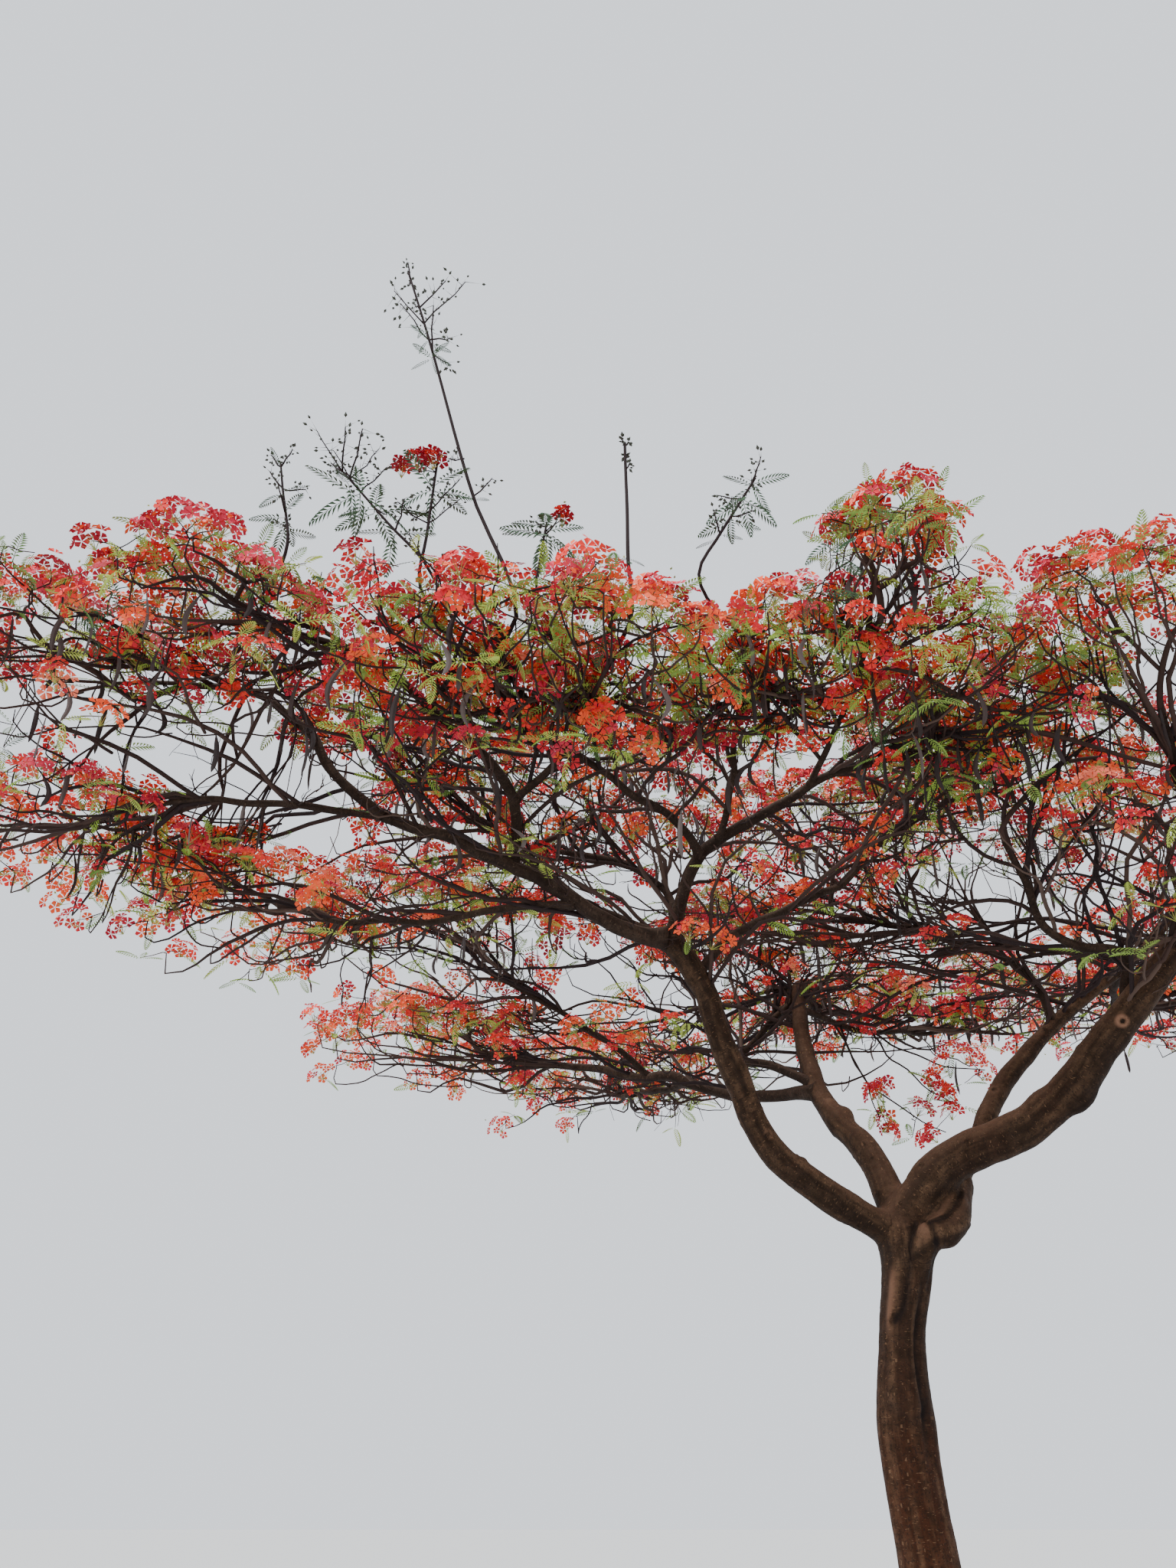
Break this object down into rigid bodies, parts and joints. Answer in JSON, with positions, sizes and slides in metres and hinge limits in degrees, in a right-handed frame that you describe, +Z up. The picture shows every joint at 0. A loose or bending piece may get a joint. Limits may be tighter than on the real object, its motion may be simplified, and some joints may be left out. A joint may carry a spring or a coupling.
{
  "type": "flame tree",
  "caption": "Whole flame tree in blossom: a leaning trunk, crooked boughs and a wide flat crown of scarlet trusses, feathery leaves and long pods.",
  "frame": {"origin": "middle of the flat cut under the trunk, at ground level", "axes": "+Z up along the trunk; +X to the right as the picture shows the tree; +Y away from the viewer"},
  "size_m": [15.6439, 10.6442, 10.5407],
  "materials": {
    "bark": "smooth grey-brown bark, reddish low on the trunk, with fine ring wrinkles and pale pores",
    "twig_bark": "thin brown bark of twigs, bud stalks and leaf stalks",
    "blossom": "thin scarlet petals with a soft sheen",
    "leaf": "feathery yellow-green leaves, matte",
    "pod": "flat woody pods, dark brown"
  },
  "bodies": {
    "root": {"trunk": "bark", "bough_back": "bark", "bough_left_high": "bark", "bough_left_low": "bark", "bough_rear": "bark", "bough_right_high": "bark", "bough_right_low": "bark", "elbow": "bark", "limb_back_left": "bark", "limb_back_low": "bark", "limb_back_mid": "bark", "limb_back_right": "bark", "limb_back_rising": "bark", "limb_left": "bark", "limb_left_back": "bark", "limb_left_front": "bark", "limb_left_inner": "bark", "limb_left_low": "bark", "limb_left_rim": "bark", "limb_left_top": "bark", "limb_long_right": "bark", "limb_middle": "bark", "limb_middle_back": "bark", "limb_middle_front": "bark", "limb_middle_hump": "bark", "limb_middle_left": "bark", "limb_rear_back": "bark", "limb_rear_left": "bark", "limb_rear_rim": "bark", "limb_right_front": "bark", "limb_right_hump": "bark", "limb_right_inner": "bark", "limb_right_rim": "bark", "mass_back": "blossom", "mass_back_left": "blossom", "mass_back_low": "blossom", "mass_back_right": "blossom", "mass_back_rising": "blossom", "mass_far_left_low": "blossom", "mass_far_left_top": "blossom", "mass_left_back": "blossom", "mass_left_hump": "blossom", "mass_left_inner": "blossom", "mass_left_low": "blossom", "mass_left_rear": "blossom", "mass_long_right": "blossom", "mass_middle_front": "blossom", "mass_middle_hump": "blossom", "mass_middle_left": "blossom", "mass_middle_right": "blossom", "mass_middle_top": "blossom", "mass_rear_back": "blossom", "mass_rear_left": "blossom", "mass_rear_rim": "blossom", "mass_rear_top": "blossom", "mass_right_front": "blossom", "mass_right_hump": "blossom", "mass_right_inner": "blossom", "mass_right_rim": "blossom"}
  },
  "joints": []
}
